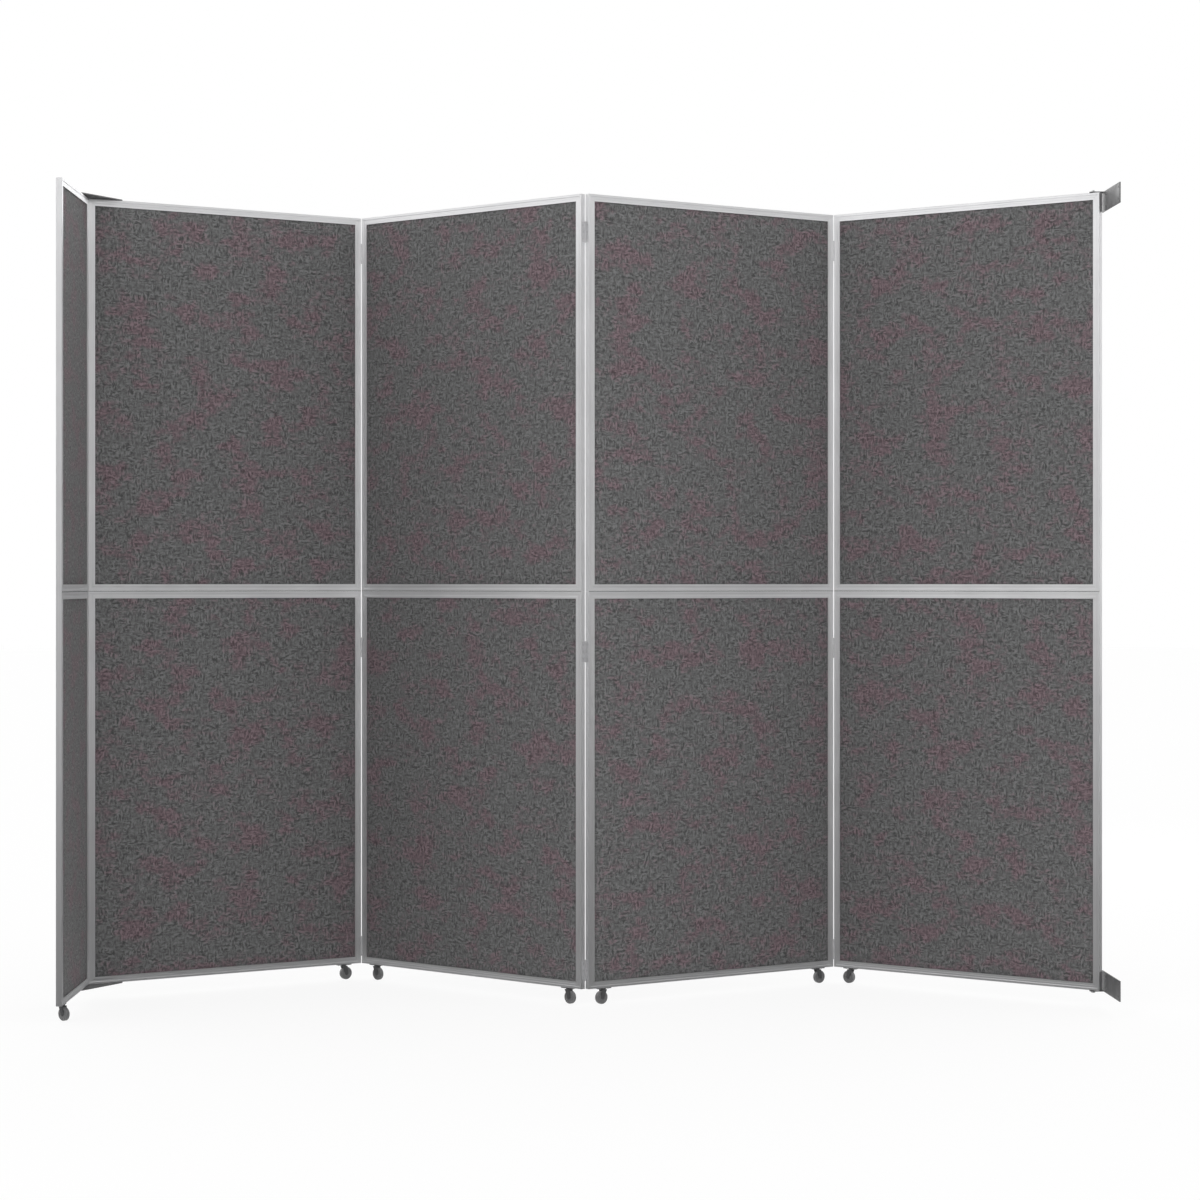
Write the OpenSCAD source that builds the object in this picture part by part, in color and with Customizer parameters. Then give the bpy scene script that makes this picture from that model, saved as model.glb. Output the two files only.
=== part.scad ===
// Tall folding room divider: four full wings that fold on pin hinges, a half-length
// return wing braced at the free end, swivel casters below and a pivot bracket pair
// for the wall. Units are millimetres. X runs from the free end to the wall, Y runs
// from the front to the back, Z is up and the floor is at Z = 0.

/* [Wings] */
// Height of one framed module
module_h = 1503; // [900:1:1800]
// Length of a full wing's frame
wing_len = 1183; // [800:1:1300]
// Length of the return wing's frame
return_len = 590; // [400:1:800]
// Gap between a wing's two modules
module_gap = 0.3; // [0.2:0.1:1]

/* [Standing angles] */
// Wing 1, angle from the X axis
turn_1 = 30.75; // [10:0.25:45]
// Wing 2, angle from the X axis
turn_2 = 43.5; // [10:0.25:45]
// Wing 3, angle from the X axis
turn_3 = 32; // [10:0.25:45]
// Wing 4, angle from the X axis
turn_4 = 39.5; // [10:0.25:45]
// Angle between the return wing and wing 1
corner_angle = 122.75; // [95:0.25:140]

/* [Frame profile] */
// Width of a profile's face
face_w = 27; // [25:0.5:36]
// Depth of a profile, which is a wing's thickness
frame_t = 22; // [21:0.5:30]
// Wall of the hollow profile
wall = 2; // [1.6:0.1:2.5]
// Depth of the channel that holds a board
channel_d = 9; // [6:0.5:10]
// Width of the shallow flute along a face
flute_w = 10; // [6:0.5:12]
// Depth of the flute
flute_d = 0.6; // [0.3:0.1:0.8]
// Chamfer on the outer edges
edge_c = 1; // [0.5:0.1:2]
// Gap at a mitred corner
seam = 0.2; // [0.1:0.1:0.4]
// Distance of a joining bolt from the end of a module's rail
bolt_in = 150; // [120:1:180]
// Radius of a joining bolt
bolt_r = 3; // [2.5:0.1:3.2]
// Rails longer than this have a third joining bolt in the middle
bolt_long = 700; // [600:10:900]
// Radius of a joining bolt's head and nut across the corners
nut_r = 5.5; // [5:0.1:6]
// Height of a joining bolt's head and nut
nut_h = 4; // [3:0.5:6]

/* [Boards] */
// Thickness of a fabric board
board_t = 16; // [12:0.5:16.5]
// Play between a board and its channel
board_play = 0.3; // [0.2:0.1:0.5]

/* [Corner keys] */
// Length of a key's leg along the rail
key_rail = 44; // [42:1:45]
// Length of a key's leg along the stile
key_stile = 38; // [30:1:40]
// Play between a key and its profile
key_play = 0.3; // [0.2:0.1:0.4]

/* [Hinges] */
// Length of a hinge
hinge_len = 76; // [60:1:80]
// Centre of the bottom hinge above the frame's lower edge
hinge_low = 70; // [70:1:200]
// Centre of the middle hinge below the joint of the modules
hinge_mid = 228; // [120:1:400]
// Centre of the top hinge below the frame's upper edge
hinge_top = 143; // [90:1:300]
// Thickness of a leaf
leaf_t = 1.5; // [1.4:0.1:2.5]
// Half of the gap between two leaves when a pair of wings is straight
leaf_gap = 0.25; // [0.2:0.05:1.5]
// Radius of a hinge pin
pin_r = 1.5; // [1.4:0.1:2]
// Wall of a knuckle around the pin
knuckle_wall = 1.5; // [1.2:0.1:1.8]
// Depth that a leaf is let into its stile
leaf_in = 1.2; // [0.5:0.1:1.3]
// Distance of a leaf's edge from the face of the wing away from the pin
leaf_edge = 3; // [2:0.5:5]
// Radial play of the pin in the knuckles
pin_play = 0.06; // [0.03:0.01:0.1]
// Distance from the pin's axis to the faces of the wings
pin_out = 0.8; // [0.6:0.1:4]
// Radius of a hinge screw, also used for plates
screw_r = 2; // [1.6:0.1:2.5]
// Distance of a hinge's outer screws from its ends
screw_edge = 12; // [8:1:14]
// Length of a hinge screw
screw_len = 12; // [10:1:14]

/* [Casters] */
// Height from the floor to the frame
base_h = 61; // [61:0.5:80]
// Radius of a wheel
wheel_r = 25; // [20:0.5:25]
// Width of a wheel
wheel_w = 15; // [10:0.5:15]
// Thickness of the fork's sheet
fork_t = 2.2; // [1.6:0.1:2.6]
// Offset of the wheel's axle behind the swivel
trail = 9; // [5:0.5:14]
// Thickness of a caster's mounting plate
plate_t = 3; // [2:0.5:4]
// Length of a caster's mounting plate
plate_len = 60; // [56:1:64]
// Distance of a caster plate's screws from its ends
plate_edge = 8; // [7:0.5:10]
// Distance of a caster from the end of its frame
caster_in = 74; // [72:1:120]
// Radius of a wheel's axle
axle_r = 3; // [2.5:0.1:3.5]
// Radius of the swivel post
post_r = 4; // [3.5:0.1:4.5]
// Reach of the fork's crown ahead of the post
crown_lead = 10; // [8:0.5:12]
// Reach of the fork's crown behind the post
crown_tail = 12; // [10:0.5:14]
// Radius of a cheek's round end at the axle
cheek_r = 7.2; // [6:0.2:9]
// Radius of a wheel's hub face
hub_r = 7; // [6:0.5:8]
// Depth of the groove in a wheel's side
dish_d = 1.5; // [0.5:0.1:2.5]
// Width of a tyre's flat side
tyre_w = 6.5; // [5:0.5:7]
// Radial play of an axle or a post
axle_play = 0.06; // [0.03:0.01:0.1]
// How far the return wing's caster is swivelled from the line of its wing
loose_turn = 50; // [0:5:90]

/* [Corner plates] */
// Length of a corner plate along each wing
brace_leg = 140; // [130:1:200]
// Distance of a corner plate's first screw from the corner
brace_first = 65; // [60:1:75]
// Distance of its last screw from the end of the leg
brace_last = 25; // [15:1:30]
// Thickness of a corner plate
brace_t = 4; // [3:0.5:6]
// Gap between the frames at the corner
corner_gap = 0.6; // [0.4:0.1:1]

/* [Wall brackets] */
// Distance from the pivot to the bracket's plate
pivot_out = 38; // [36:0.5:50]
// Distance of the pivot from the end of wing 4
pivot_in = 32; // [24:0.5:33]
// Length of the plate in front of the pivot
bracket_len = 290; // [270:1:320]
// Length of the plate behind the pivot
bracket_back = 20; // [18:1:40]
// Height of the plate
bracket_h = 76; // [70:1:100]
// Thickness of the bracket's plate and arm
bracket_t = 4; // [3:0.5:6]
// Half the width of the bracket's arm
arm_w = 13; // [11:0.5:16]
// Radius of a pivot pin
pivot_r = 5; // [4:0.5:5]
// Radial play of a pivot pin
pivot_play = 0.06; // [0.03:0.01:0.1]
// Height of a pivot pin's head
pivot_head = 5; // [3:0.5:8]
// Room between the arm and the frame
arm_gap = 0.5; // [0.4:0.1:1]
// Radius of a wall screw hole
hole_r = 4.5; // [3:0.5:5.5]
// Spacing of the wall holes along the plate
hole_y = 220; // [160:1:230]
// Distance of the front wall holes from the plate's end
hole_edge = 25; // [15:1:30]
// Spacing of the wall holes up the plate
hole_z = 44; // [30:1:46]

/* [Hidden] */
$fn = 48;
clear = 0.3;
pin_off = frame_t / 2 + pin_out;
hinge_gap = leaf_gap + leaf_t - leaf_in;
knuckle_r = pin_r + knuckle_wall;
leaf_play = 0.15;
pin_head_h = 2.2;
screw_bore = screw_r + 0.2;
bolt_bore = bolt_r + 0.2;
screw_step = hinge_len / 2 - screw_edge;
screw_grip = 9;
top_z = base_h + 2 * module_h + module_gap;
chamber = face_w - channel_d - 2 * wall;
board_in = face_w - channel_d + 2 * board_play;
plate_z = base_h - plate_t;
boss_h = 3;
crown_t = fork_t + 0.4;
crown_z = plate_z - boss_h - clear;
post_head = post_r + 2;
post_head_h = 1.5;
axle_z = wheel_r;
fork_in = wheel_w / 2 + 0.6;
fork_out = fork_in + fork_t;
end_in = wing_len - caster_in;
return_in = return_len - caster_in;
caster_screw = plate_len / 2 - plate_edge;
brace_holes = [brace_first, brace_leg - brace_last];
hinge_z = [base_h + hinge_low, base_h + module_h - hinge_mid, top_z - hinge_top];
hole_mid = hole_edge + hole_y / 2 - bracket_len;

// Plan of the standing wings, with the wall pivot at the origin
dir_1 = turn_1;
dir_2 = -turn_2;
dir_3 = turn_3;
dir_4 = -turn_4;
dir_r = turn_1 - corner_angle;
function along(a) = [cos(a), sin(a)];
function front(a) = [sin(a), -cos(a)];
base_4 = -along(dir_4) * (wing_len - pivot_in);
axis_3 = base_4 - along(dir_4) * hinge_gap + front(dir_4) * pin_off;
base_3 = axis_3 - along(dir_3) * (wing_len + hinge_gap) - front(dir_3) * pin_off;
axis_2 = base_3 - along(dir_3) * hinge_gap - front(dir_3) * pin_off;
base_2 = axis_2 - along(dir_2) * (wing_len + hinge_gap) + front(dir_2) * pin_off;
axis_1 = base_2 - along(dir_2) * hinge_gap + front(dir_2) * pin_off;
base_1 = axis_1 - along(dir_1) * (wing_len + hinge_gap) - front(dir_1) * pin_off;
corner = base_1 + front(dir_1) * frame_t / 2;
base_r = corner + along(dir_r) * corner_gap + front(dir_r) * frame_t / 2;

// Ends of the wings that reach furthest, with their chamfered corners
function spot(base, dir, x, y) = base + along(dir) * x - front(dir) * y;
function end_spots(base, dir, x, inward) = [
    for (y = [-frame_t / 2, frame_t / 2])
        for (c = [[0, sign(y)], [1, 0]])
            spot(base, dir, x + inward * edge_c * c.x, y - edge_c * c.y)
];
tips = end_spots(base_r, dir_r, return_len, -1);
valleys = concat(
    end_spots(base_1, dir_1, wing_len, -1), end_spots(base_2, dir_2, 0, 1),
    end_spots(base_3, dir_3, wing_len, -1), end_spots(base_4, dir_4, 0, 1));

// The origin is the middle of the floor box of the whole object
x_low = min([for (p = tips) p.x]);
x_high = pivot_out + bracket_t;
y_low = min(min([for (p = tips) p.y]), -bracket_len);
y_high = max([for (p = valleys) p.y]);
middle = [(x_low + x_high) / 2, (y_low + y_high) / 2];

// Places a wing's own frame: x along the wing, y toward its back, z up
module place(base, dir) {
    translate([base.x - middle.x, base.y - middle.y, 0]) rotate([0, 0, dir]) children();
}
module on_return() place(base_r, dir_r) children();
module on_1() place(base_1, dir_1) children();
module on_2() place(base_2, dir_2) children();
module on_3() place(base_3, dir_3) children();
module on_4() place(base_4, dir_4) children();
module on_pivot() place([0, 0], 0) children();

// Profile section: outer edge at x = 0, board channel at the inner edge
module section() {
    h = frame_t / 2;
    b = board_t / 2 + board_play;
    f0 = (face_w - flute_w) / 2;
    f1 = f0 + flute_w;
    s = 2.5 * flute_d;
    difference() {
        polygon([
            [edge_c, -h], [f0, -h], [f0 + s, flute_d - h], [f1 - s, flute_d - h], [f1, -h],
            [face_w, -h], [face_w, -b], [face_w - channel_d, -b], [face_w - channel_d, b],
            [face_w, b], [face_w, h], [f1, h], [f1 - s, h - flute_d], [f0 + s, h - flute_d],
            [f0, h], [edge_c, h], [0, h - edge_c], [0, edge_c - h]
        ]);
        translate([wall, wall - h]) square([chamber, frame_t - 2 * wall]);
    }
}

// One mitred profile, upright, with its outer edge at x = 0
module bar(len) {
    difference() {
        linear_extrude(len) section();
        rotate([0, 45, 0]) translate([-seam / 2, -frame_t, -face_w])
            cube([3 * face_w, 2 * frame_t, 3 * face_w]);
        translate([0, 0, len]) rotate([0, -45, 0]) translate([-seam / 2, -frame_t, -2 * face_w])
            cube([3 * face_w, 2 * frame_t, 3 * face_w]);
    }
}

// Four mitred profiles around one module
module frame(len) {
    bar(module_h);
    translate([len, 0, module_h]) rotate([0, 180, 0]) bar(module_h);
    translate([0, 0, module_h]) rotate([0, 90, 0]) bar(len);
    translate([len, 0, 0]) rotate([0, -90, 0]) bar(len);
}

// Turn that brings a hinge, drawn for a left end with its pin at the front, to its place
function hinge_turn(side, face) =
    side < 0 ? (face < 0 ? [0, 0, 0] : [180, 0, 0]) : (face < 0 ? [0, 180, 0] : [0, 0, 180]);

// Seat of a hinge at height z in a stile: the leaf's shallow rebate, room for the knuckles and
// the pin's heads, and holes for the screws. x: the stile's outer side, side: -1 left end,
// 1 right end, face: -1 pin at the front, 1 pin at the back
module hinge_seat(x, side, face, z) {
    half = hinge_len / 2 + leaf_play;
    depth = frame_t - leaf_edge + leaf_play + 1;
    translate([x, 0, z]) rotate(hinge_turn(side, face)) {
        translate([-1, -frame_t / 2 - 1, -half]) cube([leaf_in + 1, depth, 2 * half]);
        translate([-hinge_gap, -pin_off, 0])
            cylinder(r = knuckle_r + clear, h = 2 * (half + pin_head_h + clear), center = true);
        for (dz = [-1, 0, 1]) translate([-1, 0, dz * screw_step]) rotate([0, 90, 0])
            cylinder(r = screw_bore, h = wall + 2);
    }
}

// A round hole through a rail's outer wall at height z
module rail_hole(x, z, r) {
    translate([x, 0, z - wall - 1]) cylinder(r = r, h = 2 * wall + 2);
}

function bolt_places(len) =
    len > bolt_long ? [bolt_in, len / 2, len - bolt_in] : [bolt_in, len - bolt_in];

// Lower module's frame. casters: places along the wing; left and right: the face that the
// hinge pins of that end stand at, -1 front, 1 back, 0 for no hinges
module lower_frame(len, casters, left, right, brace, pivot) {
    translate([0, 0, base_h]) difference() {
        frame(len);
        for (x = bolt_places(len)) rail_hole(x, module_h, bolt_bore);
        for (x = casters) {
            rail_hole(x, 0, post_head + 1);
            for (s = [-1, 1]) rail_hole(x + s * caster_screw, 0, screw_bore);
        }
        for (z = [hinge_low, module_h - hinge_mid]) {
            if (left != 0) hinge_seat(0, -1, left, z);
            if (right != 0) hinge_seat(len, 1, right, z);
        }
        if (brace) for (x = brace_holes) rail_hole(x, 0, screw_bore);
        if (pivot) rail_hole(len - pivot_in, 0, pivot_r + pivot_play);
    }
}

// Upper module's frame, standing on the lower one
module upper_frame(len, left, right, brace, pivot) {
    translate([0, 0, base_h + module_h + module_gap]) difference() {
        frame(len);
        for (x = bolt_places(len)) rail_hole(x, 0, bolt_bore);
        if (left != 0) hinge_seat(0, -1, left, module_h - hinge_top);
        if (right != 0) hinge_seat(len, 1, right, module_h - hinge_top);
        if (brace) for (x = brace_holes) rail_hole(x, module_h, screw_bore);
        if (pivot) rail_hole(len - pivot_in, module_h, pivot_r + pivot_play);
    }
}

// Fabric board held in the channels
module board(len, level) {
    translate([board_in, -board_t / 2, base_h + level * (module_h + module_gap) + board_in])
        cube([len - 2 * board_in, board_t, module_h - 2 * board_in]);
}

// L-shaped key inside two mitred profiles, drawn for a lower left corner
module key() {
    a = wall + key_play;
    b = wall + chamber - key_play;
    rotate([90, 0, 0]) linear_extrude(frame_t - 2 * wall - 2 * key_play, center = true)
        polygon([[a, a], [key_rail, a], [key_rail, b], [b, b], [b, key_stile], [a, key_stile]]);
}

// The four keys of both modules. bored: a pivot pin passes the keys at the wall end
module keys(len, bored) {
    difference() {
        for (level = [0, 1]) translate([0, 0, base_h + level * (module_h + module_gap)]) {
            key();
            rotate([0, 0, 180]) translate([-len, 0, 0]) key();
            translate([0, 0, module_h]) rotate([180, 0, 0]) key();
            translate([len, 0, module_h]) rotate([0, 180, 0]) key();
        }
        if (bored) for (z = [base_h, top_z])
            translate([len - pivot_in, 0, z - face_w])
                cylinder(r = pivot_r + pivot_play, h = 2 * face_w);
    }
}

// Bolt and nut through the two rails between the modules
module joining_bolt(x) {
    translate([x, 0, base_h + module_h]) {
        translate([0, 0, -wall - nut_h]) cylinder(r = nut_r, h = nut_h, $fn = 6);
        translate([0, 0, -wall - 1]) cylinder(r = bolt_r, h = 2 * wall + module_gap + 2);
        translate([0, 0, wall + module_gap]) cylinder(r = nut_r, h = nut_h, $fn = 6);
    }
}

// Countersunk screw along +x with its head's face at x = 0
module sunk_screw(len) {
    rotate([0, 90, 0]) rotate_extrude()
        polygon([[0, 0], [screw_r + 1.5, 0], [screw_r, 1.5], [screw_r, len], [0, len]]);
}

// Pan head screw along +z with the underside of its head at z = 0
module pan_screw(len) {
    rotate_extrude()
        polygon([[0, -2], [screw_r + 1, -2], [screw_r + 1.6, -1.2], [screw_r + 1.6, 0],
            [screw_r, 0], [screw_r, len], [0, len]]);
}

// Moves from the wing's own frame to its hinge axes. side: -1 left end, 1 right end.
// face: -1 pin at the front, 1 pin at the back
module at_hinges(len, side, face) {
    x = side < 0 ? -hinge_gap : len + hinge_gap;
    for (z = hinge_z) translate([x, face * pin_off, z]) rotate(hinge_turn(side, face)) children();
}

// Leaf with the pin's axis at the origin and its wing toward +x and +y.
// knuckles: 0, 2 and 4 on the leaf that holds the pin, 1 and 3 on the other
module leaf(knuckles) {
    step = hinge_len / 5;
    near = knuckle_r + clear;
    difference() {
        union() {
            translate([leaf_gap, near, -hinge_len / 2])
                cube([leaf_t, pin_out + frame_t - leaf_edge - near, hinge_len]);
            for (k = knuckles) translate([0, 0, k * step + clear / 2 - hinge_len / 2]) {
                cylinder(r = knuckle_r, h = step - clear);
                translate([leaf_gap, 0, 0]) cube([leaf_t, near + 1, step - clear]);
            }
        }
        translate([0, 0, -hinge_len]) cylinder(r = pin_r + pin_play, h = 2 * hinge_len);
        for (dz = [-1, 0, 1]) translate([leaf_gap, pin_off, dz * screw_step])
            rotate([0, 90, 0]) rotate_extrude()
                polygon([[0, -1], [screw_r + 2.8, -1], [screw_bore, 1.6],
                    [screw_bore, leaf_t + 1], [0, leaf_t + 1]]);
    }
}

// Hinge pin with a head at each end, seated on the outer knuckles
module hinge_pin() {
    h = hinge_len / 2 - clear / 2;
    rotate_extrude()
        polygon([[0, -h - pin_head_h], [pin_r + 0.2, -h - pin_head_h], [pin_r + 1.2, -h - 1.4],
            [pin_r + 1.2, -h], [pin_r, -h], [pin_r, h], [pin_r + 1.2, h], [pin_r + 1.2, h + 1.4],
            [pin_r + 0.2, h + pin_head_h], [0, h + pin_head_h]]);
}

// Screws of the hinge leaves
module leaf_screws() {
    for (dz = [-1, 0, 1])
        translate([leaf_gap + 0.1, pin_off, dz * screw_step]) sunk_screw(screw_len);
}

// Mounting plate of a caster, with the boss that the fork turns on
module caster_plate(x) {
    translate([x, 0, 0]) difference() {
        union() {
            translate([-plate_len / 2, 1 - frame_t / 2, plate_z]) cube([plate_len, frame_t - 2, plate_t]);
            translate([0, 0, plate_z - boss_h]) cylinder(r = frame_t / 2 - 1.5, h = boss_h + 1);
        }
        cylinder(r = post_r + axle_play, h = base_h + 5);
        for (s = [-1, 1]) translate([s * caster_screw, 0, 0]) cylinder(r = screw_bore, h = base_h + 5);
    }
}

// Screws of a caster's plate
module caster_screws(x) {
    for (s = [-1, 1]) translate([x + s * caster_screw, 0, plate_z]) pan_screw(plate_t + screw_grip);
}

// Fork with its swivel post and the wheel's axle. turn: where it trails, from +x
module fork(x, turn) {
    translate([x, 0, 0]) rotate([0, 0, turn]) {
        difference() {
            union() {
                translate([-crown_lead, -fork_out, crown_z - crown_t])
                    cube([crown_lead + crown_tail, 2 * fork_out, crown_t]);
                for (y = [-fork_out, fork_in]) translate([0, y + fork_t, 0]) rotate([90, 0, 0])
                    linear_extrude(fork_t) {
                        polygon([[-crown_lead, crown_z - 0.5], [crown_tail, crown_z - 0.5],
                            [trail + cheek_r - 0.2, axle_z], [trail - cheek_r + 0.2, axle_z]]);
                        translate([trail, axle_z]) circle(r = cheek_r);
                    }
                translate([0, 0, crown_z - 1])
                    cylinder(r = post_r, h = base_h - crown_z + clear + post_head_h);
                translate([0, 0, base_h + clear]) cylinder(r = post_head, h = post_head_h);
            }
            translate([trail, 0, axle_z]) rotate([90, 0, 0])
                cylinder(r = axle_r + 0.02, h = 3 * fork_out, center = true);
        }
        translate([trail, 0, axle_z]) rotate([90, 0, 0])
            cylinder(r = axle_r, h = 2 * fork_out + 0.4, center = true);
    }
}

// Wheel with a hub and a grooved side
module wheel(x, turn) {
    w = wheel_w / 2;
    translate([x, 0, axle_z]) rotate([0, 0, turn]) translate([trail, 0, 0]) rotate([90, 0, 0])
        rotate_extrude($fn = 96)
        polygon([
            [axle_r + axle_play, -w], [hub_r, -w], [hub_r + dish_d, dish_d - w],
            [wheel_r - tyre_w - dish_d, dish_d - w], [wheel_r - tyre_w, -w], [wheel_r - 2, -w],
            [wheel_r, 2 - w], [wheel_r, w - 2], [wheel_r - 2, w], [wheel_r - tyre_w, w],
            [wheel_r - tyre_w - dish_d, w - dish_d], [hub_r + dish_d, w - dish_d], [hub_r, w],
            [axle_r + axle_play, w]
        ]);
}

// Corner plate on the frames of the return wing and wing 1, drawn in wing 1's own frame
module brace() {
    t = frame_t / 2;
    m = edge_c;
    a = -corner_angle;
    d = along(a);
    n = -front(a);
    c = [0, -t];
    difference() {
        linear_extrude(brace_t) polygon([
            [brace_leg, -t], [brace_leg, t - m], [m, t - m],
            c - n * (frame_t - m) + d * m, c - n * (frame_t - m) + d * brace_leg, c + d * brace_leg
        ]);
        for (x = brace_holes) {
            translate([x, 0, -1]) cylinder(r = screw_bore, h = brace_t + 2);
            translate([c.x + d.x * (x + corner_gap) - n.x * t, c.y + d.y * (x + corner_gap) - n.y * t, -1])
                cylinder(r = screw_bore, h = brace_t + 2);
        }
    }
}

// Screws of the corner plates in a wing's own frame
module brace_screws() {
    for (x = brace_holes) {
        translate([x, 0, base_h - brace_t]) pan_screw(brace_t + screw_grip);
        translate([x, 0, top_z + brace_t]) rotate([180, 0, 0]) pan_screw(brace_t + screw_grip);
    }
}

// Plate against the wall with a pivot arm. up: 1 for the upper bracket, -1 for the lower
module wall_bracket(up) {
    edge = up > 0 ? top_z : base_h;
    arm = up > 0 ? edge + arm_gap : edge - arm_gap - bracket_t;
    low = up > 0 ? arm + bracket_t - bracket_h : arm;
    difference() {
        union() {
            translate([pivot_out, -bracket_len, low])
                cube([bracket_t, bracket_len + bracket_back, bracket_h]);
            translate([0, -arm_w, arm]) cube([pivot_out + 1, 2 * arm_w, bracket_t]);
            translate([0, 0, arm]) cylinder(r = arm_w + 1, h = bracket_t);
        }
        translate([0, 0, arm - 1]) cylinder(r = pivot_r + 0.1, h = bracket_t + 2);
        for (y = [-1, 1], z = [-1, 1])
            translate([pivot_out - 1, hole_mid + y * hole_y / 2, low + bracket_h / 2 + z * hole_z / 2])
                rotate([0, 90, 0]) cylinder(r = hole_r, h = bracket_t + 2);
    }
}

// Pivot pin from the arm into the rail and its key. up: as for the bracket
module pivot_pin(up) {
    reach = arm_gap + bracket_t + wall + chamber - clear;
    translate([0, 0, up > 0 ? top_z + arm_gap + bracket_t : base_h - arm_gap - bracket_t])
        rotate([up > 0 ? 180 : 0, 0, 0]) rotate_extrude()
            polygon([[0, -pivot_head], [pivot_r + 2, -pivot_head], [pivot_r + 3, 1 - pivot_head],
                [pivot_r + 3, 0], [pivot_r, 0], [pivot_r, reach - 1], [pivot_r - 1, reach],
                [0, reach]]);
}

module return_wing_lower_frame()
    color("silver") on_return() lower_frame(return_len, [return_in], 0, 0, true, false);
module return_wing_upper_frame()
    color("silver") on_return() upper_frame(return_len, 0, 0, true, false);
module return_wing_lower_panel() color("dimgray") on_return() board(return_len, 0);
module return_wing_upper_panel() color("dimgray") on_return() board(return_len, 1);
module return_wing_corner_keys() color("gray") on_return() keys(return_len, false);
module return_wing_caster_plate() color("slategray") on_return() caster_plate(return_in);

module wing_1_lower_frame()
    color("silver") on_1() lower_frame(wing_len, [end_in], 0, -1, true, false);
module wing_1_upper_frame() color("silver") on_1() upper_frame(wing_len, 0, -1, true, false);
module wing_1_lower_panel() color("dimgray") on_1() board(wing_len, 0);
module wing_1_upper_panel() color("dimgray") on_1() board(wing_len, 1);
module wing_1_corner_keys() color("gray") on_1() keys(wing_len, false);
module wing_1_fasteners() color("lightgray") {
    on_1() {
        for (x = bolt_places(wing_len)) joining_bolt(x);
        at_hinges(wing_len, 1, -1) leaf_screws();
        caster_screws(end_in);
        brace_screws();
    }
    on_return() {
        for (x = bolt_places(return_len)) joining_bolt(x);
        caster_screws(return_in);
        brace_screws();
    }
}
module wing_1_hinge_leaves() color("gainsboro") on_1() at_hinges(wing_len, 1, -1) leaf([1, 3]);
module wing_1_caster_plate() color("slategray") on_1() caster_plate(end_in);

module wing_2_lower_frame()
    color("silver") on_2() lower_frame(wing_len, [caster_in, end_in], -1, 1, false, false);
module wing_2_upper_frame() color("silver") on_2() upper_frame(wing_len, -1, 1, false, false);
module wing_2_lower_panel() color("dimgray") on_2() board(wing_len, 0);
module wing_2_upper_panel() color("dimgray") on_2() board(wing_len, 1);
module wing_2_corner_keys() color("gray") on_2() keys(wing_len, false);
module wing_2_fasteners() color("lightgray") on_2() {
    for (x = bolt_places(wing_len)) joining_bolt(x);
    at_hinges(wing_len, -1, -1) leaf_screws();
    at_hinges(wing_len, 1, 1) leaf_screws();
    caster_screws(caster_in);
    caster_screws(end_in);
}
module wing_2_hinge_leaves() color("gainsboro") on_2() {
    at_hinges(wing_len, -1, -1) leaf([0, 2, 4]);
    at_hinges(wing_len, 1, 1) leaf([1, 3]);
}
module wing_2_caster_plates() color("slategray") on_2() {
    caster_plate(caster_in);
    caster_plate(end_in);
}

module wing_3_lower_frame()
    color("silver") on_3() lower_frame(wing_len, [caster_in, end_in], 1, -1, false, false);
module wing_3_upper_frame() color("silver") on_3() upper_frame(wing_len, 1, -1, false, false);
module wing_3_lower_panel() color("dimgray") on_3() board(wing_len, 0);
module wing_3_upper_panel() color("dimgray") on_3() board(wing_len, 1);
module wing_3_corner_keys() color("gray") on_3() keys(wing_len, false);
module wing_3_fasteners() color("lightgray") on_3() {
    for (x = bolt_places(wing_len)) joining_bolt(x);
    at_hinges(wing_len, -1, 1) leaf_screws();
    at_hinges(wing_len, 1, -1) leaf_screws();
    caster_screws(caster_in);
    caster_screws(end_in);
}
module wing_3_hinge_leaves() color("gainsboro") on_3() {
    at_hinges(wing_len, -1, 1) leaf([0, 2, 4]);
    at_hinges(wing_len, 1, -1) leaf([1, 3]);
}
module wing_3_caster_plates() color("slategray") on_3() {
    caster_plate(caster_in);
    caster_plate(end_in);
}

module wing_4_lower_frame()
    color("silver") on_4() lower_frame(wing_len, [caster_in], -1, 0, false, true);
module wing_4_upper_frame() color("silver") on_4() upper_frame(wing_len, -1, 0, false, true);
module wing_4_lower_panel() color("dimgray") on_4() board(wing_len, 0);
module wing_4_upper_panel() color("dimgray") on_4() board(wing_len, 1);
module wing_4_corner_keys() color("gray") on_4() keys(wing_len, true);
module wing_4_fasteners() color("lightgray") on_4() {
    for (x = bolt_places(wing_len)) joining_bolt(x);
    at_hinges(wing_len, -1, -1) leaf_screws();
    caster_screws(caster_in);
}
module wing_4_hinge_leaves() color("gainsboro") on_4() at_hinges(wing_len, -1, -1) leaf([0, 2, 4]);
module wing_4_caster_plate() color("slategray") on_4() caster_plate(caster_in);

module hinge_1_pins() color("whitesmoke") on_2() at_hinges(wing_len, -1, -1) hinge_pin();
module hinge_2_pins() color("whitesmoke") on_3() at_hinges(wing_len, -1, 1) hinge_pin();
module hinge_3_pins() color("whitesmoke") on_4() at_hinges(wing_len, -1, -1) hinge_pin();

module corner_plates() color("dimgray") on_1() {
    translate([0, 0, top_z]) brace();
    translate([0, 0, base_h - brace_t]) brace();
}

module upper_wall_bracket() color("dimgray") on_pivot() wall_bracket(1);
module lower_wall_bracket() color("dimgray") on_pivot() wall_bracket(-1);
module pivot_pins() color("gray") on_pivot() {
    pivot_pin(1);
    pivot_pin(-1);
}

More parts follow.
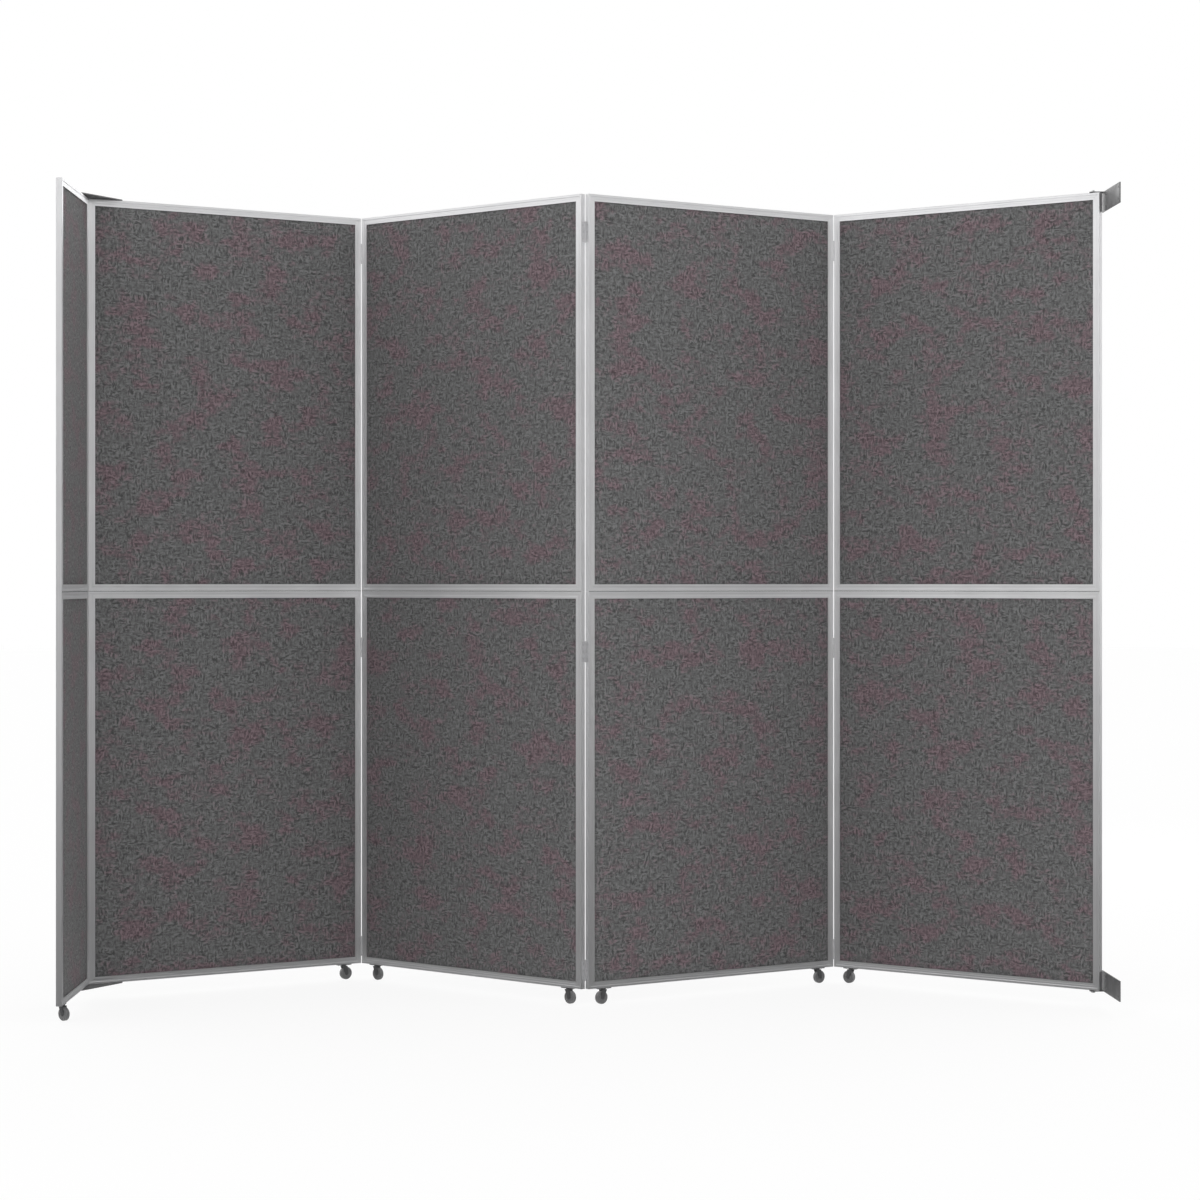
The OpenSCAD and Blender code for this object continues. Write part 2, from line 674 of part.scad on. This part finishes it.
module caster_1_fork() color("darkslategray") on_return() fork(return_in, loose_turn);
module caster_2_fork() color("darkslategray") on_1() fork(end_in, 0);
module caster_3_fork() color("darkslategray") on_2() fork(caster_in, 0);
module caster_4_fork() color("darkslategray") on_2() fork(end_in, 0);
module caster_5_fork() color("darkslategray") on_3() fork(caster_in, 180);
module caster_6_fork() color("darkslategray") on_3() fork(end_in, 0);
module caster_7_fork() color("darkslategray") on_4() fork(caster_in, 180);

module caster_1_wheel() color("black") on_return() wheel(return_in, loose_turn);
module caster_2_wheel() color("black") on_1() wheel(end_in, 0);
module caster_3_wheel() color("black") on_2() wheel(caster_in, 0);
module caster_4_wheel() color("black") on_2() wheel(end_in, 0);
module caster_5_wheel() color("black") on_3() wheel(caster_in, 180);
module caster_6_wheel() color("black") on_3() wheel(end_in, 0);
module caster_7_wheel() color("black") on_4() wheel(caster_in, 180);

return_wing_lower_frame();
return_wing_upper_frame();
return_wing_lower_panel();
return_wing_upper_panel();
return_wing_corner_keys();
return_wing_caster_plate();
wing_1_lower_frame();
wing_1_upper_frame();
wing_1_lower_panel();
wing_1_upper_panel();
wing_1_corner_keys();
wing_1_fasteners();
wing_1_hinge_leaves();
wing_1_caster_plate();
wing_2_lower_frame();
wing_2_upper_frame();
wing_2_lower_panel();
wing_2_upper_panel();
wing_2_corner_keys();
wing_2_fasteners();
wing_2_hinge_leaves();
wing_2_caster_plates();
wing_3_lower_frame();
wing_3_upper_frame();
wing_3_lower_panel();
wing_3_upper_panel();
wing_3_corner_keys();
wing_3_fasteners();
wing_3_hinge_leaves();
wing_3_caster_plates();
wing_4_lower_frame();
wing_4_upper_frame();
wing_4_lower_panel();
wing_4_upper_panel();
wing_4_corner_keys();
wing_4_fasteners();
wing_4_hinge_leaves();
wing_4_caster_plate();
hinge_1_pins();
hinge_2_pins();
hinge_3_pins();
corner_plates();
upper_wall_bracket();
lower_wall_bracket();
pivot_pins();
caster_1_fork();
caster_2_fork();
caster_3_fork();
caster_4_fork();
caster_5_fork();
caster_6_fork();
caster_7_fork();
caster_1_wheel();
caster_2_wheel();
caster_3_wheel();
caster_4_wheel();
caster_5_wheel();
caster_6_wheel();
caster_7_wheel();
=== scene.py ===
"""Looks of the folding room divider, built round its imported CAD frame."""

import math

import bmesh
import bpy
import numpy as np
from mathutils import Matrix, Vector


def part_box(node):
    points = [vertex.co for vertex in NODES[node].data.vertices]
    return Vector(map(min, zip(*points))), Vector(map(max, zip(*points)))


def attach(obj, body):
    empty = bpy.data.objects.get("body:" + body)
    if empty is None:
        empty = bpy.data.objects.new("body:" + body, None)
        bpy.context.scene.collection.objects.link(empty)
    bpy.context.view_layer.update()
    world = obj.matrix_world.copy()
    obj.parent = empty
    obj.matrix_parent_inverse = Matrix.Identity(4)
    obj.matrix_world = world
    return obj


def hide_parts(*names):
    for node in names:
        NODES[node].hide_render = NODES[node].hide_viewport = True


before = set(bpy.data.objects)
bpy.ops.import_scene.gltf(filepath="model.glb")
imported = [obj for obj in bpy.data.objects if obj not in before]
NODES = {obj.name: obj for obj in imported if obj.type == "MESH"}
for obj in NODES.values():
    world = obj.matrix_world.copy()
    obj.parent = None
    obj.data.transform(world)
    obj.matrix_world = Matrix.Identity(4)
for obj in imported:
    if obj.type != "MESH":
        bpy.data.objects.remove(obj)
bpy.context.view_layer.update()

# The body that each wing's new pieces ride on
WINGS = {
    "return_wing": "wing_1",
    "wing_1": "wing_1",
    "wing_2": "wing_2",
    "wing_3": "wing_3",
    "wing_4": "wing_4",
}
LEVELS = ("lower", "upper")

# The two sides of a board, as signs of its depth
FRONT, BACK = -1, 1

# The places of the materials on a frame
STILE, RAIL, SHADED_GROOVE = range(3)

# Colours as linear values
ALUMINIUM = (0.80, 0.80, 0.81)
HINGE_ALUMINIUM = (0.70, 0.70, 0.71)
KEY_METAL = (0.5, 0.5, 0.5)
ZINC = (0.62, 0.62, 0.63)
# Painted shade: the dark grey of the groove where two modules meet
GROOVE_SHADE_GREY = (0.16, 0.16, 0.165)
CHARCOAL = (0.127, 0.128, 0.1285)
BURGUNDY = (0.152, 0.112, 0.124)
DARK_PAINT = (0.120, 0.120, 0.122)
CASTER_DARK = (0.070, 0.070, 0.072)
WHEEL_GREY = (0.150, 0.150, 0.152)
FLOOR_WHITE = (0.93, 0.93, 0.93)
WHITE = (1, 1, 1)

# Most of any noise lies between these two values
NOISE_RANGE = (0.3, 0.7)

# Profiles: the die lines in a metre of surface, across and along the profile
DIE_LINES = (900.0, 1.6)

# Cloth: the marks in a metre of it (U, V), how far two of their patterns are moved so that they
# don't match the others, and the spacing of its threads in metres
SLUBS = (50, 118)
PATCHES = (30, 30)
FLECKS = (300, 300)
BUSY_AREAS = (22, 22)
CLOUDS = (6.5, 9.5)
WARP_SHIFT = (0.37, 0.11, 0)
BUSY_SHIFT = (0.2, 0.6, 0)
THREAD = 0.0014

# Boards, in metres: how far a face rises between its rounded edges, how flat the crown's middle is,
# the rounded edge's depth and the spacing of the mesh
CROWN = 0.0004
CROWN_POWER = 8
BOARD_EDGE = 0.0015
MESH_STEP = 0.06

# Where the cloth of each board is cut, in metres: further along and up for each wing, further up
# for the upper level and further along for the back
CLOTH_ALONG = 1.7
CLOTH_UP = 0.9
CLOTH_LEVEL = 2.3
CLOTH_BACK = 0.5

# Depth of the small bevels where two modules meet, in metres: that groove is painted dark, as
# painted shade. A face whose normal points up or down by more than LEVEL_NORMAL isn't one of them.
BEVEL = 0.0012
LEVEL_NORMAL = 0.9

# The photograph's camera, in metres and degrees, its lens and sensor in millimetres. The photograph
# is IMAGE pixels wide and high.
IMAGE = 1200
CAMERA_PLACE = (-0.42607, -11.55042, 1.605)
CAMERA_YAW = 2.383
CAMERA_LENS = 90.0
CAMERA_SENSOR = 36.0
CAMERA_REACH = 200.0
HORIZON_ROW = 580.7

# Floor: half its width in metres, and how much of what the camera sees of it is plain white. The
# rest shows the object's shadow.
FLOOR_REACH = 60.0
FLOOR_GLOW = 0.88

# Light: the even fill, and the studio that only metal mirrors, which is BY_HEIGHT times the light
# of its right or left side, mixed within SIDE_BLEND of the middle. Each stop is (place, level). The
# place is the height (-1 down, 1 up) or the depth (-1 front, 1 back) of the mirrored direction.
FILL = 1.0
MIRRORED = 4.4
SIDE_BLEND = 0.15
BY_HEIGHT = (
    (-0.60, 0.46), (-0.34, 0.29), (-0.19, 0.0), (-0.07, 0.30),
    (0.0, 0.98), (0.08, 0.78), (0.45, 0.80), (0.85, 0.32),
)
RIGHT_LIGHT = (
    (-0.98, 0.02), (-0.90, 0.20), (-0.80, 0.92), (-0.66, 0.12), (-0.45, 0.09),
    (0.0, 0.27), (0.30, 0.40), (0.70, 0.50), (0.95, 0.11),
)
LEFT_LIGHT = (
    (-0.98, 0.02), (-0.84, 0.48), (-0.70, 0.34), (-0.50, 0.52),
    (-0.20, 0.27), (0.30, 0.20), (0.75, 0.80),
)

# Lamps: name, place, aim and size in metres, power in watts
LAMPS = (
    ("key", (-3.2, -8.0, 5.8), (-0.4, 0, 1.2), (6.0, 4.0), 70.0),
    ("rim", (5.0, 6.0, 5.0), (0, 0, 1.6), (4.0, 4.0), 60.0),
)


# ---------------------------------------------------------------- node helpers
class Nodes:
    """A node tree, with short calls that add to it and return the new node's output."""

    def __init__(self, tree):
        self.tree = tree

    def add(self, kind, inputs=None, **settings):
        """Returns the new node itself. Sockets among its inputs are linked, values are set."""
        node = self.tree.nodes.new(kind)
        for key, value in settings.items():
            setattr(node, key, value)
        for key, value in (inputs or {}).items():
            self.join(value, node.inputs[key])
        return node

    def join(self, value, socket):
        if isinstance(value, bpy.types.NodeSocket):
            self.tree.links.new(value, socket)
        elif socket.type == "RGBA":
            socket.default_value = (*value, 1.0)
        else:
            socket.default_value = value

    def math(self, operation, a, b=0.0):
        return self.add("ShaderNodeMath", {0: a, 1: b}, operation=operation).outputs[0]

    def weighted(self, a, share_a, b, share_b):
        """The sum of two values, each times its share."""
        return self.math(
            "ADD", self.math("MULTIPLY", a, share_a), self.math("MULTIPLY", b, share_b)
        )

    def ramp(self, value, low, high, to_low=0.0, to_high=1.0, kind="SMOOTHSTEP"):
        inputs = {"Value": value, 1: low, 2: high, 3: to_low, 4: to_high}
        return self.add("ShaderNodeMapRange", inputs, interpolation_type=kind).outputs[0]

    def spread(self, noise, to_low, to_high):
        """Takes a noise's usual range to another one."""
        return self.ramp(noise, *NOISE_RANGE, to_low, to_high)

    def noise(self, vector, scale=1.0, detail=2.0, roughness=0.5):
        inputs = {"Vector": vector, "Scale": scale, "Detail": detail, "Roughness": roughness}
        return self.add("ShaderNodeTexNoise", inputs).outputs["Fac"]

    def mapping(self, vector, scale, turn=0.0, shift=(0, 0, 0)):
        """Moves the vector by -shift, turns it about Z by -turn and multiplies it by scale."""
        inputs = {
            "Vector": vector,
            "Location": shift,
            "Rotation": (0, 0, turn),
            "Scale": tuple(1 / s for s in scale),
        }
        return self.add("ShaderNodeMapping", inputs, vector_type="TEXTURE").outputs[0]

    def mix(self, factor, a, b, blend="MIX"):
        """Colour a, or b where the factor is 1. The node's colours are its sockets 6 and 7."""
        inputs = {0: factor, 6: a, 7: b}
        return self.add("ShaderNodeMix", inputs, data_type="RGBA", blend_type=blend).outputs[2]

    def tinted(self, colour, tone):
        """The colour times a grey tone."""
        grey = self.add("ShaderNodeCombineColor", {0: tone, 1: tone, 2: tone}).outputs[0]
        return self.mix(1.0, colour, grey, "MULTIPLY")

    def choose(self, factor, a, b):
        """Shader a, or b where the factor is 1."""
        return self.add("ShaderNodeMixShader", {0: factor, 1: a, 2: b}).outputs[0]

    def bump(self, height, strength, distance):
        inputs = {"Height": height, "Strength": strength, "Distance": distance}
        return self.add("ShaderNodeBump", inputs).outputs[0]

    def place(self):
        """The place on the object, in metres."""
        return self.add("ShaderNodeTexCoord").outputs["Object"]


class Maker(Nodes):
    """A new material and its shader."""

    def __init__(self, name):
        self.material = bpy.data.materials.new(name)
        self.material.use_nodes = True
        super().__init__(self.material.node_tree)
        self.shader = self.tree.nodes["Principled BSDF"]

    def set(self, **inputs):
        """Sets or links the shader's inputs, with _ for the spaces in their names."""
        for key, value in inputs.items():
            self.join(value, self.shader.inputs[key.replace("_", " ")])


def scaled(values, factor, lift=0.0):
    return tuple(factor * value + lift for value in values)


# ------------------------------------------------------------------- materials
def extruded_aluminium(name, turn, upright):
    """Satin anodised extrusion with die lines along its length.

    turn is the wing's angle in plan, and upright says that the profile stands.
    """
    m = Maker(name)
    across, along = DIE_LINES
    scale = (across, across, along) if upright else (along, across, across)
    lines = m.noise(m.mapping(m.place(), scale, turn), detail=3.0, roughness=0.6)
    fine = m.noise(m.mapping(m.place(), scaled(scale, 3), turn))
    cloud = m.noise(m.place(), 5.0, detail=3.0)
    smudge = m.ramp(m.noise(m.place(), 23.0, detail=4.0), 0.52, 0.75)
    streak = m.weighted(lines, 0.6, fine, 0.4)
    tone = m.math("MULTIPLY", m.spread(streak, 0.90, 1.06), m.spread(cloud, 0.97, 1.02))
    rough = m.math("ADD", m.spread(streak, 0.39, 0.44), m.math("MULTIPLY", smudge, 0.05))
    m.set(Base_Color=m.tinted(ALUMINIUM, tone), Metallic=1.0, Roughness=rough)
    m.set(Normal=m.bump(streak, strength=0.10, distance=0.0002))

    # The stretched sheen's tangent is level, on stiles and on rails
    if upright:
        inputs = {0: m.add("ShaderNodeNewGeometry").outputs["Normal"], 1: (0, 0, 1)}
        tangent = m.add("ShaderNodeVectorMath", inputs, operation="CROSS_PRODUCT")
    else:
        inputs = {0: (math.cos(turn), math.sin(turn), 0)}
        tangent = m.add("ShaderNodeVectorTransform", inputs, vector_type="VECTOR",
                        convert_from="OBJECT", convert_to="WORLD")
    m.set(Anisotropic=0.95, Tangent=tangent.outputs[0])
    return m.material


def cast_metal(name, colour, roughness, grain=900.0):
    """Plain metal with a faint grain, for leaves, pins, screws, keys, and the painted shade in the
    modules' seams.
    """
    m = Maker(name)
    grit = m.noise(m.place(), grain, detail=3.0)
    cloud = m.noise(m.place(), 60.0, detail=3.0)
    tone = m.math("MULTIPLY", m.spread(grit, 0.93, 1.05), m.spread(cloud, 0.93, 1.04))
    m.set(Base_Color=m.tinted(colour, tone), Metallic=1.0)
    m.set(Roughness=m.spread(cloud, roughness - 0.05, roughness + 0.06))
    m.set(Normal=m.bump(grit, strength=0.08, distance=0.0002))
    return m.material


def powder_coat(name, colour, roughness=0.5):
    """Satin powder coat: a fine orange peel with small dull marks."""
    m = Maker(name)
    peel = m.noise(m.place(), 650.0)
    cloud = m.noise(m.place(), 18.0, detail=4.0)
    dust = m.ramp(m.noise(m.place(), 140.0, detail=5.0, roughness=0.7), 0.55, 0.8)
    base = m.mix(m.math("MULTIPLY", dust, 0.35), colour, scaled(colour, 1.5, 0.01))
    base = m.mix(m.spread(cloud, 0.0, 0.25), base, scaled(colour, 0.8))
    m.set(Base_Color=base, Roughness=m.spread(cloud, roughness - 0.06, roughness + 0.08))
    m.set(Normal=m.bump(peel, strength=0.25, distance=0.0003))
    return m.material


def moulded(name, colour, roughness):
    """Moulded plastic or rubber with a matt skin and rubbed patches."""
    m = Maker(name)
    skin = m.noise(m.place(), 1500.0)
    rub = m.ramp(m.noise(m.place(), 90.0, detail=4.0, roughness=0.65), 0.5, 0.72)
    base = m.mix(m.math("MULTIPLY", rub, 0.5), colour, scaled(colour, 1.7, 0.006))
    m.set(Base_Color=base, Roughness=m.math("ADD", m.math("MULTIPLY", rub, 0.12), roughness))
    m.set(Normal=m.bump(skin, strength=0.2, distance=0.0002))
    return m.material


def heather(name):
    """Charcoal heather: a plain weave with slubs along both threads and burgundy clouds.

    The cloth's UV map is in metres, U along the wing and V up.
    """
    m = Maker(name)
    uv = m.add("ShaderNodeUVMap").outputs[0]

    def marks(per_metre, shift=(0, 0, 0), **kind):
        return m.noise(m.mapping(uv, (*per_metre, 1), shift=shift), **kind)

    # Slubs: short light and dark dashes, by patches along the weft or along the warp
    weft = marks(SLUBS, roughness=0.6)
    warp = marks(SLUBS[::-1], WARP_SHIFT, roughness=0.6)
    patch = m.ramp(marks(PATCHES), 0.42, 0.58)
    slub = m.add("ShaderNodeMix", {0: patch, 2: weft, 3: warp}, data_type="FLOAT").outputs[0]
    value = m.weighted(slub, 0.85, marks(FLECKS, roughness=0.6), 0.15)

    # Busy and quiet areas: the dashes are stronger in some than in others
    busy = m.ramp(marks(BUSY_AREAS, BUSY_SHIFT), 0.38, 0.62, 0.62, 1.3)
    value = m.math("MULTIPLY", m.math("SUBTRACT", value, 0.5), busy)
    tone = m.ramp(m.math("ADD", value, 0.5), 0.34, 0.66, 0.50, 1.52)

    # Burgundy clouds, broken by the slubs
    broken = m.math("MULTIPLY", m.math("SUBTRACT", slub, 0.5), 0.2)
    cloud = m.math("ADD", marks(CLOUDS, detail=4.0, roughness=0.66), broken)
    base = m.tinted(m.mix(m.ramp(cloud, 0.475, 0.63), CHARCOAL, BURGUNDY), tone)

    # Plain weave: crossing threads, seen from close up. The darker lines between the threads are
    # painted shade, and the same pattern makes the bump.
    split = m.add("ShaderNodeSeparateXYZ", {0: uv}).outputs
    over, under = (
        m.math("SINE", m.math("MULTIPLY", split[axis], math.pi / THREAD)) for axis in (0, 1)
    )
    weave = m.math("ABSOLUTE", m.math("MULTIPLY", over, under))
    # Painted shade in the gaps between the threads
    base = m.tinted(base, m.ramp(weave, 0.0, 0.6, 0.80, 1.05))
    m.set(Base_Color=base, Roughness=0.93, Specular_IOR_Level=0.25)
    m.set(Sheen_Weight=0.12, Sheen_Roughness=0.5)
    m.set(Normal=m.bump(m.weighted(weave, 0.5, slub, 0.8), strength=0.35, distance=0.0006))
    return m.material


def white_floor():
    """White floor: the camera sees a soft shadow on it, and metal sees the studio through it."""
    m = Maker("floor_white")
    paths = m.add("ShaderNodeLightPath").outputs
    m.set(Base_Color=FLOOR_WHITE, Roughness=0.9)
    glow = m.add("ShaderNodeEmission", {"Color": WHITE, "Strength": 1.0}).outputs[0]
    clear = m.add("ShaderNodeBsdfTransparent").outputs[0]
    seen = m.math("MULTIPLY", paths["Is Camera Ray"], FLOOR_GLOW)
    lit = m.choose(seen, m.shader.outputs[0], glow)
    surface = m.choose(paths["Is Glossy Ray"], lit, clear)
    m.join(surface, m.tree.nodes["Material Output"].inputs["Surface"])
    return m.material


# ---------------------------------------------------------------------- shapes
def into_scene(name, data):
    """A new object with that data, linked to the scene."""
    item = bpy.data.objects.new(name, data)
    bpy.context.scene.collection.objects.link(item)
    return item


class Wing:
    """A wing's own axes in plan, read from one of its panel nodes."""

    def __init__(self, name):
        points = np.array([v.co for v in NODES[f"{name}_lower_panel"].data.vertices])[:, :2]
        self.centre = (points.max(0) + points.min(0)) / 2
        spread = points - self.centre
        axis = np.linalg.eigh(spread.T @ spread)[1][:, 1]
        if axis @ ((0, -1) if name == "return_wing" else (1, 0)) < 0:
            axis = -axis
        self.along = Vector((axis[0], axis[1], 0))
        self.back = Vector((-axis[1], axis[0], 0))
        self.turn = math.atan2(axis[1], axis[0])
        self.half_width = float(np.abs(spread @ axis).max())
        self.half_depth = float(np.abs(spread @ (-axis[1], axis[0])).max())

    def point(self, x, y, z):
        """x along the wing from its middle, y toward the back, z above the floor."""
        return Vector((*self.centre, z)) + self.along * x + self.back * y

    def x_of(self, co):
        """How far along the wing a point lies, from its middle."""
        return Vector((co[0] - self.centre[0], co[1] - self.centre[1], 0)).dot(self.along)


def stations(half):
    """Places across a board: its two ends, and even steps between its rounded edges."""
    count = max(2, round(2 * half / MESH_STEP))
    inner = np.linspace(BOARD_EDGE - half, half - BOARD_EDGE, count + 1)
    return [-half, *inner.tolist(), half]


def crown(reach):
    """The crown's height, where reach is 0 at the middle and 1 at the edge."""
    return 1 - reach**CROWN_POWER


def fabric_board(wing, name, level, body, material, offset):
    """A fabric-covered board: two crowned faces and rounded edges, with UVs in metres."""
    node = f"{name}_{level}_panel"
    low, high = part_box(node)
    half_h, mid_z = (high.z - low.z) / 2, (high.z + low.z) / 2
    xs, zs = stations(wing.half_width), stations(half_h)
    last_i, last_j = len(xs) - 1, len(zs) - 1
    bm = bmesh.new()
    uv_layer = bm.loops.layers.uv.new("UVMap")
    verts = {}
    for side in (FRONT, BACK):
        for i, x in enumerate(xs):
            for j, z in enumerate(zs):
                if i in (0, last_i) or j in (0, last_j):
                    depth = wing.half_depth - BOARD_EDGE
                else:
                    rise = crown(x / wing.half_width) * crown(z / half_h)
                    depth = wing.half_depth - CROWN + CROWN * rise
                verts[side, i, j] = bm.verts.new(wing.point(x, side * depth, mid_z + z))

    def cloth_uv(i, j, side):
        return (offset[0] + xs[i] + (CLOTH_BACK if side == BACK else 0), offset[1] + zs[j])

    def quad(corners, cloth_side):
        """A face over corners of (side, i, j), in the cloth of one side."""
        face = bm.faces.new([verts[corner] for corner in corners])
        face.smooth = True
        for loop, (_, i, j) in zip(face.loops, corners):
            loop[uv_layer].uv = cloth_uv(i, j, cloth_side)

    for side in (FRONT, BACK):
        for i in range(last_i):
            for j in range(last_j):
                ring = [(i, j), (i + 1, j), (i + 1, j + 1), (i, j + 1)]
                if side == BACK:
                    ring.reverse()
                quad([(side, *corner) for corner in ring], side)

    # The rim between the two faces, in the front's cloth
    rim = [(i, 0) for i in range(last_i)]
    rim += [(last_i, j) for j in range(last_j)]
    rim += [(i, last_j) for i in range(last_i, 0, -1)]
    rim += [(0, j) for j in range(last_j, 0, -1)]
    for a, b in zip(rim, rim[1:] + rim[:1]):
        quad([(FRONT, *b), (FRONT, *a), (BACK, *a), (BACK, *b)], FRONT)

    mesh = bpy.data.meshes.new(f"{name}_{level}_fabric")
    bm.to_mesh(mesh)
    bm.free()
    mesh.materials.append(material)
    piece = into_scene(mesh.name, mesh)
    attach(piece, body)
    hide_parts(node)


# ------------------------------------------------------------------ dress parts
fabric = heather("heather_fabric")
zinc = cast_metal("zinc_steel", ZINC, 0.34)
leaf_metal = cast_metal("hinge_aluminium", HINGE_ALUMINIUM, 0.40)
key_metal = cast_metal("key_metal", KEY_METAL, 0.5, grain=400.0)
# Dark metal that paints the shade in the groove between two modules
groove_shade_metal = cast_metal("groove_shade_metal", GROOVE_SHADE_GREY, 0.55)
bracket_paint = powder_coat("bracket_paint", DARK_PAINT)
caster_paint = powder_coat("caster_paint", CASTER_DARK, 0.34)
wheel_rubber = moulded("wheel_rubber", WHEEL_GREY, 0.45)

FINISHES = {
    "corner_keys": key_metal,
    "fasteners": zinc,
    "hinge_leaves": leaf_metal,
    "_pins": zinc,
    "caster_plate": caster_paint,
    "_fork": caster_paint,
    "_wheel": wheel_rubber,
    "corner_plates": bracket_paint,
    "wall_bracket": bracket_paint,
}


def repaint(node, *materials):
    slots = NODES[node].data.materials
    slots.clear()
    for material in materials:
        slots.append(material)


def paint_frame(wing, node, level, stile, rail):
    """Stile and rail metal up to the mitres, and a dark metal on the bevels at the joint, painted
    shade in that groove.
    """
    repaint(node, stile, rail, groove_shade_metal)
    low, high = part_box(node)
    joint = high.z if level == "lower" else low.z
    mesh = NODES[node].data
    reach = max(abs(wing.x_of(v.co)) for v in mesh.vertices)
    for face in mesh.polygons:
        to_end = reach - abs(wing.x_of(face.center))
        to_edge = min(face.center.z - low.z, high.z - face.center.z)
        in_shaded_groove = abs(face.center.z - joint) < BEVEL and to_end > BEVEL
        # The bevels at the joint get the dark metal: painted shade in the groove
        if in_shaded_groove and abs(face.normal.z) < LEVEL_NORMAL:
            face.material_index = SHADED_GROOVE
        else:
            face.material_index = STILE if to_end < to_edge else RAIL


for node in NODES:
    for word, material in FINISHES.items():
        if word in node:
            repaint(node, material)

for number, (name, body) in enumerate(WINGS.items()):
    wing = Wing(name)
    stile = extruded_aluminium(f"{name}_stile", wing.turn, True)
    rail = extruded_aluminium(f"{name}_rail", wing.turn, False)
    for row, level in enumerate(LEVELS):
        offset = (CLOTH_ALONG * number, CLOTH_LEVEL * row + CLOTH_UP * number)
        fabric_board(wing, name, level, body, fabric, offset)
        paint_frame(wing, f"{name}_{level}_frame", level, stile, rail)


# ----------------------------------------------------------------------- stage
def studio_floor():
    mesh = bpy.data.meshes.new("floor")
    signs = ((-1, -1), (1, -1), (1, 1), (-1, 1))
    corners = [(x * FLOOR_REACH, y * FLOOR_REACH, 0.0) for x, y in signs]
    mesh.from_pydata(corners, [], [(0, 1, 2, 3)])
    mesh.materials.append(white_floor())
    floor = into_scene("floor", mesh)


def studio_world():
    """White behind the object, an even fill, and a studio for metal to mirror.

    The mirrored studio is bright at eye level and above, and has a dark band just below. Its
    walls have narrow and wide soft lights in front, at either side and behind.
    """
    world = bpy.data.worlds.new("studio")
    bpy.context.scene.world = world
    world.use_nodes = True
    world.node_tree.nodes.clear()
    w = Nodes(world.node_tree)

    def curve(value, stops):
        """A grey ramp over stops of (place from -1 to 1, level)."""
        place = w.ramp(value, -1.0, 1.0, kind="LINEAR")
        node = w.add("ShaderNodeValToRGB", {0: place})
        node.color_ramp.interpolation = "LINEAR"
        elements = node.color_ramp.elements
        while len(elements) < len(stops):
            elements.new(0.5)
        for element, (position, level) in zip(elements, stops):
            element.position = (position + 1) / 2
            element.color = (level, level, level, 1)
        return node.outputs[0]

    def background(colour, strength=1.0):
        inputs = {"Color": colour, "Strength": strength}
        return w.add("ShaderNodeBackground", inputs).outputs[0]

    paths = w.add("ShaderNodeLightPath").outputs
    direction = w.add("ShaderNodeTexCoord").outputs["Generated"]
    x, y, z = w.add("ShaderNodeSeparateXYZ", {0: direction}).outputs
    side = w.ramp(x, -SIDE_BLEND, SIDE_BLEND, kind="LINEAR")
    around = w.mix(side, curve(y, LEFT_LIGHT), curve(y, RIGHT_LIGHT))
    mirrored = w.mix(1.0, curve(z, BY_HEIGHT), around, "MULTIPLY")
    white = background(WHITE)
    lit = w.choose(paths["Is Camera Ray"], background(WHITE, FILL), white)
    metal = w.choose(paths["Is Glossy Ray"], lit, background(mirrored, MIRRORED))
    seen = w.choose(paths["Is Transmission Ray"], metal, white)
    w.add("ShaderNodeOutputWorld", {"Surface": seen})


def lamp(name, place, aim, size, power):
    data = bpy.data.lights.new(name, "AREA")
    data.shape = "RECTANGLE"
    data.size, data.size_y = size
    data.energy = power
    light = into_scene(name, data)
    light.location = place
    light.rotation_mode = "QUATERNION"
    light.rotation_quaternion = (Vector(aim) - Vector(place)).to_track_quat("-Z", "Y")


def photo_camera():
    data = bpy.data.cameras.new("camera")
    data.sensor_width = CAMERA_SENSOR
    data.lens = CAMERA_LENS
    data.shift_y = (HORIZON_ROW - IMAGE / 2) / IMAGE
    data.clip_end = CAMERA_REACH
    camera = into_scene("camera", data)
    camera.location = CAMERA_PLACE
    camera.rotation_euler = (math.pi / 2, 0, -math.radians(CAMERA_YAW))
    bpy.context.scene.camera = camera


studio_floor()
studio_world()
for values in LAMPS:
    lamp(*values)
photo_camera()
bpy.context.scene.view_settings.view_transform = "Standard"
